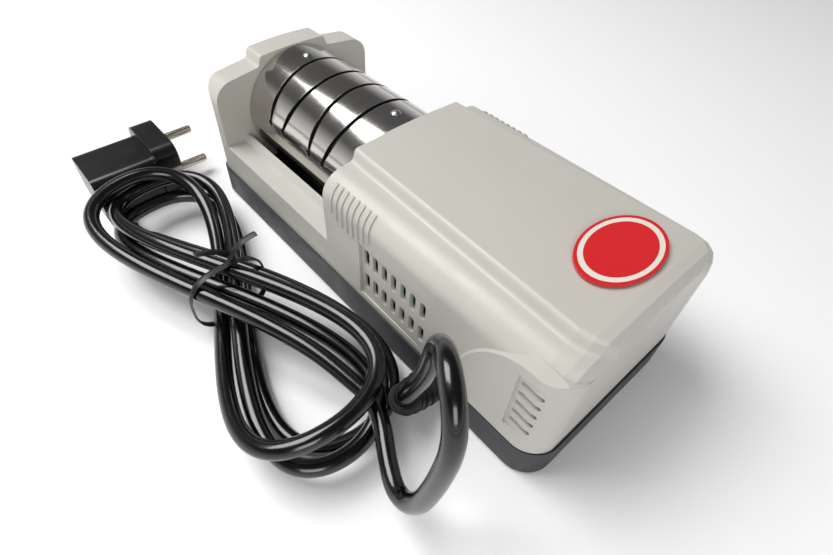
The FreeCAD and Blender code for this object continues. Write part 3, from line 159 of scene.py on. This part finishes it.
def cord_points():
    """The lead, the hank and the tail as one list of control points."""
    count = int((HANK_TO - HANK_FROM) / 360 * HANK_STEPS)
    turns = [hank_point(a) for a in np.linspace(HANK_FROM, HANK_TO, count)]
    entry = (hank_point(HANK_FROM + 0.05) - turns[0]).normalized()
    leaving = (turns[-1] - hank_point(HANK_TO - 0.05)).normalized()
    start = turns[0] - entry * CORD_DIAMETER
    end = turns[-1] + leaving * CORD_DIAMETER
    lead = [Vector(p) for p in LEAD_ROUTE] + [start - entry * LEAD_RUN_IN, start]
    tail = [end, end + leaving * TAIL_RUN_OUT] + [Vector(p) for p in TAIL_ROUTE]
    return lead + turns + tail


def grid_mesh(name, grid, close_rows=False):
    """A mesh of quads over rows of points. Each row is a closed ring; the rows may close too."""
    rows, cols = grid.shape[:2]
    faces = []
    for i in range(rows if close_rows else rows - 1):
        for j in range(cols):
            a, b = i * cols, ((i + 1) % rows) * cols
            faces.append((a + j, a + (j + 1) % cols, b + (j + 1) % cols, b + j))
    if not close_rows:
        faces.append(tuple(range(cols))[::-1])
        faces.append(tuple(range((rows - 1) * cols, rows * cols)))
    mesh = bpy.data.meshes.new(name)
    mesh.from_pydata((grid.reshape(-1, 3) * MM).tolist(), [], faces)
    mesh.shade_smooth()
    return mesh


def strip_rings(path, across, width):
    """Rings round a flat strip: an oval of the strip's width, thickened in the middle by the
    wire in it. across is the unit direction of the width at each point of the path."""
    path = np.asarray(path, float)
    across = np.asarray(across, float)
    along = np.gradient(path, axis=0)
    along /= np.linalg.norm(along, axis=1)[:, None]
    normal = np.cross(along, across)
    t = np.linspace(0, 2 * math.pi, 20, endpoint=False)
    flat = width / 2 * np.cos(t)
    thick = TIE_THICKNESS / 2 * np.sin(t) * (1 + 1.6 * np.exp(-(flat / TIE_CORE) ** 2))
    return (path[:, None] + across[:, None] * flat[None, :, None]
            + normal[:, None] * thick[None, :, None])


def tie_band(width):
    """The loop round the waist: a rounded square in the Y and Z directions."""
    low_y = WAIST_Y + min(SHIFT_OVER + SHIFT_UNDER) - CORD_DIAMETER / 2 - TIE_ROOM
    high_y = WAIST_Y + max(SHIFT_OVER + SHIFT_UNDER) + CORD_DIAMETER / 2 + TIE_ROOM
    low_z = max(min(HEIGHT_OVER + HEIGHT_UNDER) - CORD_DIAMETER / 2 - 0.4, 0.5)
    high_z = max(HEIGHT_OVER + HEIGHT_UNDER) + CORD_DIAMETER / 2 + 0.5
    t = np.linspace(0, 2 * math.pi, 120, endpoint=False)
    round_y = np.sign(np.cos(t)) * np.abs(np.cos(t)) ** (2 / TIE_SQUARENESS)
    round_z = np.sign(np.sin(t)) * np.abs(np.sin(t)) ** (2 / TIE_SQUARENESS)
    path = np.stack([WAIST_X + 0.5 * np.sin(3 * t),
                     (low_y + high_y) / 2 + (high_y - low_y) / 2 * round_y,
                     (low_z + high_z) / 2 + (high_z - low_z) / 2 * round_z], axis=1)
    across = np.tile([1.0, 0.0, 0.0], (len(t), 1))
    return grid_mesh("tie_band", strip_rings(path, across, width), True), high_z


def tie_tail(width, top, side):
    """One end of the tie: it winds round the other for a turn, then leans outwards."""
    t = np.linspace(0, 1, 60)
    wind = np.clip(t / 0.4, 0, 1)
    reach = np.clip((t - 0.4) / 0.6, 0, 1)
    turn = 2 * math.pi * wind + (0 if side > 0 else math.pi)
    lean = math.radians(TIE_LEAN)
    path = np.stack([WAIST_X + 0.8 * np.cos(turn) + 1.5 * reach * reach * side,
                     WAIST_Y + 0.8 * np.sin(turn)
                     + side * TIE_TAIL * reach * math.sin(lean) * (0.6 + 0.4 * reach),
                     top - 0.6 + 5.5 * wind
                     + TIE_TAIL * reach * math.cos(lean) * (1.15 - 0.45 * reach)], axis=1)
    across = np.stack([np.cos(turn / 2), np.sin(turn / 2), 0 * turn], axis=1)
    spread = np.array([1.0, 0.0, 0.0])
    across = across * (1 - reach)[:, None] + spread * reach[:, None] + [1e-4, 0, 0]
    across /= np.linalg.norm(across, axis=1)[:, None]
    return grid_mesh("tie_tail", strip_rings(path, across, width))


class Tree:
    """Short ways of adding and joining the nodes of one material."""

    def __init__(self, name):
        self.material = bpy.data.materials.new(name)
        self.material.use_nodes = True
        self.tree = self.material.node_tree
        self.shader = self.tree.nodes["Principled BSDF"]
        self.place = self.add("ShaderNodeTexCoord").outputs["Object"]

    def add(self, kind, **values):
        node = self.tree.nodes.new(kind)
        for key, value in values.items():
            setattr(node, key, value)
        return node

    def join(self, source, target):
        self.tree.links.new(source, target)

    def noise(self, size, stretch=(1, 1, 1), detail=4.0):
        """Noise whose features are about size millimetres, stretched along the axes."""
        scale = self.add("ShaderNodeVectorMath", operation="MULTIPLY")
        scale.inputs[1].default_value = [1 / s for s in stretch]
        self.join(self.place, scale.inputs[0])
        noise = self.add("ShaderNodeTexNoise")
        noise.inputs["Scale"].default_value = 1.0 / (size * MM)
        noise.inputs["Detail"].default_value = detail
        self.join(scale.outputs[0], noise.inputs["Vector"])
        return noise.outputs["Fac"]

    def blend(self, factor, first, second):
        mix = self.add("ShaderNodeMix", data_type="RGBA")
        self.join(factor, mix.inputs["Factor"])
        for socket, value in ((mix.inputs[6], first), (mix.inputs[7], second)):
            if isinstance(value, tuple):
                socket.default_value = value
            else:
                self.join(value, socket)
        return mix.outputs[2]

    def spread(self, factor, low, high):
        """Maps noise between 0.3 and 0.7 onto the range from low to high."""
        node = self.add("ShaderNodeMapRange")
        node.inputs["From Min"].default_value = 0.3
        node.inputs["From Max"].default_value = 0.7
        node.inputs["To Min"].default_value = low
        node.inputs["To Max"].default_value = high
        self.join(factor, node.inputs["Value"])
        return node.outputs["Result"]


def surface(name, colour, rough, metal=0.0, patch=0.05, grain=0.5, height=0.05, edge=0.0,
            stretch=(1, 1, 1), coat=0.0):
    """A plain finish: broad patches of tone, a fine grain in the normal and in the gloss."""
    t = Tree(name)
    dark = tuple(c * (1 - patch) for c in colour[:3]) + (1.0,)
    light = tuple(min(c * (1 + patch), 1.0) for c in colour[:3]) + (1.0,)
    t.join(t.blend(t.noise(22.0, stretch), dark, light), t.shader.inputs["Base Color"])
    t.join(t.spread(t.noise(9.0, stretch), rough * 0.88, min(rough * 1.12, 1.0)),
           t.shader.inputs["Roughness"])
    bump = t.add("ShaderNodeBump")
    bump.inputs["Strength"].default_value = height
    bump.inputs["Distance"].default_value = grain * MM * 0.4
    t.join(t.noise(grain, stretch, 2.0), bump.inputs["Height"])
    if edge:
        bevel = t.add("ShaderNodeBevel", samples=4)
        bevel.inputs["Radius"].default_value = edge * MM
        t.join(bevel.outputs["Normal"], bump.inputs["Normal"])
    t.join(bump.outputs["Normal"], t.shader.inputs["Normal"])
    t.shader.inputs["Metallic"].default_value = metal
    t.shader.inputs["Coat Weight"].default_value = coat
    return t


def badge_surface():
    """A red field, a pale ring and a red rim, told apart by the oval's own radius."""
    t = surface("badge_pale", linear(222, 218, 206), 0.3, grain=0.4, height=0.02, coat=0.2)
    shift = t.add("ShaderNodeVectorMath", operation="SUBTRACT")
    shift.inputs[1].default_value = (BADGE_CENTRE[0] * MM, BADGE_CENTRE[1] * MM, 0)
    t.join(t.place, shift.inputs[0])
    scale = t.add("ShaderNodeVectorMath", operation="MULTIPLY")
    scale.inputs[1].default_value = (2000 / BADGE_SIZE[0], 2000 / BADGE_SIZE[1], 0)
    t.join(shift.outputs[0], scale.inputs[0])
    radius = t.add("ShaderNodeVectorMath", operation="LENGTH")
    t.join(scale.outputs[0], radius.inputs[0])
    colour = t.shader.inputs["Base Color"].links[0].from_socket
    red = linear(206, 38, 42)
    for operation, edge in (("LESS_THAN", BADGE_FIELD), ("GREATER_THAN", BADGE_RIM)):
        part = t.add("ShaderNodeMath", operation=operation)
        part.inputs[1].default_value = edge
        t.join(radius.outputs["Value"], part.inputs[0])
        colour = t.blend(part.outputs[0], colour, red)
    t.join(colour, t.shader.inputs["Base Color"])
    return t


def grit_surface(name, colour, grain):
    """Bonded grit: sharp speckles of light and dark with a strong, fine bump."""
    t = surface(name, colour, 0.85, patch=0.1, grain=grain, height=0.8)
    pale = t.shader.inputs["Base Color"].links[0].from_socket
    speck = t.add("ShaderNodeMath", operation="GREATER_THAN")
    speck.inputs[1].default_value = 0.58
    t.join(t.noise(grain * 1.5), speck.inputs[0])
    t.join(t.blend(speck.outputs[0], pale, linear(226, 222, 214)), t.shader.inputs["Base Color"])
    return t


def dress(finish, *names):
    for name in names:
        mesh = nodes[name].data
        mesh.materials.clear()
        mesh.materials.append(finish.material)


def place_piece(obj, finish):
    bpy.context.scene.collection.objects.link(obj)
    obj.data.materials.append(finish.material)
    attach(obj, "body")


class SHARPENER_OT_camera(bpy.types.Operator):
    """Places the camera and sets the picture size"""
    bl_idname = "sharpener.camera"
    bl_label = "Camera"

    def execute(self, context):
        scene = context.scene
        data = bpy.data.cameras.new("camera")
        data.sensor_fit = "HORIZONTAL"
        data.sensor_width = SENSOR
        data.lens = FOCAL_PIXELS / IMAGE_WIDTH * SENSOR
        data.shift_x = (IMAGE_WIDTH / 2 - CENTRE_PIXEL[0]) / IMAGE_WIDTH
        data.shift_y = (CENTRE_PIXEL[1] - IMAGE_HEIGHT / 2) / IMAGE_WIDTH
        data.clip_start = 0.01
        camera = bpy.data.objects.new("camera", data)
        turn = Matrix((CAMERA_RIGHT, CAMERA_UP, CAMERA_BACK)).transposed()
        camera.matrix_world = Matrix.Translation(CAMERA_PLACE) @ turn.to_4x4()
        scene.collection.objects.link(camera)
        scene.camera = camera
        scene.render.resolution_x = IMAGE_WIDTH
        scene.render.resolution_y = IMAGE_HEIGHT
        scene.render.resolution_percentage = 100
        scene.render.engine = "CYCLES"
        scene.cycles.samples = 192
        scene.view_settings.view_transform = "Standard"
        return {"FINISHED"}


class SHARPENER_OT_cord(bpy.types.Operator):
    """Builds the mains cord as one run from the clamp, through the hank, to the plug"""
    bl_idname = "sharpener.cord"
    bl_label = "Cord"

    def execute(self, context):
        points = cord_points()
        curve = bpy.data.curves.new("mains_cord", "CURVE")
        curve.dimensions = "3D"
        curve.resolution_u = 6
        curve.bevel_depth = CORD_DIAMETER / 2 * MM
        curve.bevel_resolution = 8
        curve.use_fill_caps = True
        spline = curve.splines.new("NURBS")
        spline.points.add(len(points) - 1)
        for target, point in zip(spline.points, points):
            target.co = (*(point * MM), 1.0)
        spline.order_u = 3
        spline.use_endpoint_u = True
        cord = bpy.data.objects.new("mains_cord", curve)
        finish = surface("cord_black", linear(9, 9, 10), 0.22, patch=0.1, grain=1.2,
                         height=0.05, coat=0.35)
        place_piece(cord, finish)
        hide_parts("cord_lead", "cord_hank", "cord_tail")
        return {"FINISHED"}


class SHARPENER_OT_tie(bpy.types.Operator):
    """Replaces the plain tie by a thin coated wire with two twisted ends"""
    bl_idname = "sharpener.tie"
    bl_label = "Twist tie"

    def execute(self, context):
        width = context.scene.sharpener.tie_width
        finish = surface("tie_black", linear(16, 16, 17), 0.45, grain=0.8, height=0.1)
        band, top = tie_band(width)
        pieces = [bpy.data.objects.new("tie_band", band)]
        for side in (-1, 1):
            tail = tie_tail(width, top, side)
            pieces.append(bpy.data.objects.new("tie_end_a" if side < 0 else "tie_end_b", tail))
        for piece in pieces:
            place_piece(piece, finish)
            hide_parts("twist_tie")
        return {"FINISHED"}


class SHARPENER_OT_mouldings(bpy.types.Operator):
    """Finishes the light upper housing, the dark pan and the small mouldings"""
    bl_idname = "sharpener.mouldings"
    bl_label = "Mouldings"

    def execute(self, context):
        own = context.scene.sharpener
        dress(surface("light_grey", linear(186, 183, 175), 0.42, patch=0.02, grain=0.6,
                      height=own.grain, edge=own.edge), "upper_housing")
        dress(surface("charcoal", linear(42, 43, 47), 0.5, patch=0.05, grain=0.7,
                      height=own.grain * 2, edge=own.edge), "base_pan")
        dress(surface("black_matt", linear(34, 34, 36), 0.6, height=0.1), "knife_guide",
              "cord_clamp", "cooling_fan", "motor_saddle")
        dress(surface("foot_rubber", linear(28, 28, 28), 0.8, height=0.15), "rubber_feet")
        dress(badge_surface(), "badge")
        return {"FINISHED"}


class SHARPENER_OT_switch(bpy.types.Operator):
    """Finishes the power switch"""
    bl_idname = "sharpener.switch"
    bl_label = "Switch"

    def execute(self, context):
        dress(surface("black_gloss", linear(20, 20, 22), 0.22, grain=0.8, height=0.02,
                      edge=0.3, coat=0.3), "switch_frame", "switch_rocker")
        return {"FINISHED"}


class SHARPENER_OT_cover(bpy.types.Operator):
    """Finishes the polished cylinder, with faint lines round it from the polishing"""
    bl_idname = "sharpener.cover"
    bl_label = "Slotted cover"

    def execute(self, context):
        dress(surface("polished_steel", linear(196, 193, 187), 0.13, metal=1.0, patch=0.04,
                      grain=0.5, height=0.015, edge=0.25, stretch=(1, 40, 40)), "slotted_cover")
        return {"FINISHED"}


class SHARPENER_OT_grinding(bpy.types.Operator):
    """Finishes the two wheels, their spindle and bearings"""
    bl_idname = "sharpener.grinding"
    bl_label = "Grinding unit"

    def execute(self, context):
        dress(grit_surface("coarse_abrasive", linear(120, 82, 64), 0.5), "coarse_wheel")
        dress(grit_surface("fine_abrasive", linear(176, 172, 166), 0.25), "fine_wheel")
        dress(surface("zinc_steel", linear(176, 176, 178), 0.32, metal=1.0), "spindle",
              "wheel_spacers", "wheel_nut", "motor_shaft", "motor_strap", "case_screws",
              "cover_screws", "strap_screws", "board_screws", "clamp_screws")
        dress(surface("aluminium", linear(190, 191, 194), 0.38, metal=1.0),
              "outboard_bearing_block", "inboard_bearing_block", "shaft_coupling")
        dress(surface("bronze", linear(170, 122, 66), 0.4, metal=1.0), "outboard_bush",
              "inboard_bush", "motor_front_bush", "motor_rear_bush")
        return {"FINISHED"}


class SHARPENER_OT_motor(bpy.types.Operator):
    """Finishes the motor and the small circuit board"""
    bl_idname = "sharpener.motor"
    bl_label = "Motor and board"

    def execute(self, context):
        dress(surface("plated_can", linear(168, 168, 166), 0.35, metal=1.0), "motor_can",
              "motor_front_cap", "motor_rear_cap")
        dress(surface("ferrite", linear(46, 46, 48), 0.7), "motor_magnets")
        dress(surface("lamination", linear(120, 120, 124), 0.5, metal=1.0,
                      stretch=(0.1, 10, 10)), "armature_core")
        dress(surface("copper", linear(190, 104, 60), 0.3, metal=1.0), "armature_windings",
              "commutator")
        dress(surface("brass", linear(196, 158, 84), 0.35, metal=1.0), "brush_holders")
        dress(surface("carbon", linear(30, 30, 31), 0.6), "carbon_brushes")
        dress(surface("board_green", linear(26, 96, 58), 0.4, coat=0.3), "circuit_board")
        dress(surface("capacitor_sleeve", linear(38, 46, 84), 0.35, coat=0.2),
              "board_capacitor")
        dress(surface("rectifier_black", linear(28, 28, 29), 0.5), "board_rectifier")
        return {"FINISHED"}


class SHARPENER_OT_plug(bpy.types.Operator):
    """Finishes the plug with its pins, and the soft sleeves on the cord"""
    bl_idname = "sharpener.plug"
    bl_label = "Plug"

    def execute(self, context):
        dress(surface("plug_black", linear(13, 13, 14), 0.3, patch=0.06, grain=0.6,
                      height=0.08, edge=0.6, coat=0.1), "plug_body")
        dress(surface("nickel_brass", linear(200, 194, 180), 0.2, metal=1.0, edge=0.3),
              "plug_pins", "plug_clips")
        dress(surface("relief_rubber", linear(27, 27, 28), 0.45, height=0.08, edge=0.3),
              "strain_relief", "plug_grommet")
        return {"FINISHED"}


def soft_light(context, name, place, target, size, power):
    data = bpy.data.lights.new(name, "AREA")
    data.shape = "RECTANGLE"
    data.size, data.size_y = size
    data.energy = power
    light = bpy.data.objects.new(name, data)
    light.location = place
    aim = Vector(target) - Vector(place)
    light.rotation_euler = aim.to_track_quat("-Z", "Y").to_euler()
    context.scene.collection.objects.link(light)


class SHARPENER_OT_stage(bpy.types.Operator):
    """Lays the pale floor, the even sky and the soft lights"""
    bl_idname = "sharpener.stage"
    bl_label = "Stage"

    def execute(self, context):
        own = context.scene.sharpener
        mesh = bpy.data.meshes.new("floor")
        half = FLOOR_HALF
        corners = [(-half, -half, 0), (half, -half, 0), (half, half, 0), (-half, half, 0)]
        mesh.from_pydata(corners, [], [(0, 1, 2, 3)])
        floor = bpy.data.objects.new("floor", mesh)
        context.scene.collection.objects.link(floor)
        finish = surface("floor_pale", linear(250, 250, 250), 0.6, patch=0.003, height=0.0)
        mesh.materials.append(finish.material)

        world = bpy.data.worlds.new("sky")
        world.use_nodes = True
        tree = world.node_tree
        coords = tree.nodes.new("ShaderNodeTexCoord")
        split = tree.nodes.new("ShaderNodeSeparateXYZ")
        ramp = tree.nodes.new("ShaderNodeValToRGB")
        ramp.color_ramp.elements[0].position = 0.02
        ramp.color_ramp.elements[0].color = (1.0, 1.0, 1.0, 1.0)
        ramp.color_ramp.elements[1].position = 0.42
        ramp.color_ramp.elements[1].color = (0.12, 0.12, 0.125, 1.0)
        tree.links.new(coords.outputs["Generated"], split.inputs[0])
        tree.links.new(split.outputs["Z"], ramp.inputs["Fac"])
        back = tree.nodes["Background"]
        tree.links.new(ramp.outputs["Color"], back.inputs["Color"])
        back.inputs["Strength"].default_value = own.sky
        context.scene.world = world
        soft_light(context, "key", KEY_PLACE, (0, 0, 0), KEY_SIZE, own.key_power)
        soft_light(context, "fill", FILL_PLACE, (0, -0.05, 0), FILL_SIZE,
                   own.key_power * FILL_SHARE)
        return {"FINISHED"}


STEPS = (SHARPENER_OT_camera, SHARPENER_OT_cord, SHARPENER_OT_tie, SHARPENER_OT_mouldings,
         SHARPENER_OT_switch, SHARPENER_OT_cover, SHARPENER_OT_grinding, SHARPENER_OT_motor,
         SHARPENER_OT_plug, SHARPENER_OT_stage)


class SHARPENER_PT_panel(bpy.types.Panel):
    """Sizes and steps of the knife sharpener"""
    bl_idname = "SHARPENER_PT_panel"
    bl_label = "Sharpener"
    bl_space_type = "VIEW_3D"
    bl_region_type = "UI"
    bl_category = "Sharpener"

    def draw(self, context):
        for name in SharpenerSettings.__annotations__:
            self.layout.prop(context.scene.sharpener, name)
        for step in STEPS:
            self.layout.operator(step.bl_idname)


def register():
    for item in (SharpenerSettings,) + STEPS + (SHARPENER_PT_panel,):
        bpy.utils.register_class(item)
    bpy.types.Scene.sharpener = bpy.props.PointerProperty(type=SharpenerSettings)


def unregister():
    del bpy.types.Scene.sharpener
    for item in reversed((SharpenerSettings,) + STEPS + (SHARPENER_PT_panel,)):
        bpy.utils.unregister_class(item)


def main():
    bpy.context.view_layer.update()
    register()
    bpy.ops.sharpener.camera()
    bpy.ops.sharpener.cord()
    bpy.ops.sharpener.tie()
    bpy.ops.sharpener.mouldings()
    bpy.ops.sharpener.switch()
    bpy.ops.sharpener.cover()
    bpy.ops.sharpener.grinding()
    bpy.ops.sharpener.motor()
    bpy.ops.sharpener.plug()
    bpy.ops.sharpener.stage()


if __name__ == "__main__":
    main()
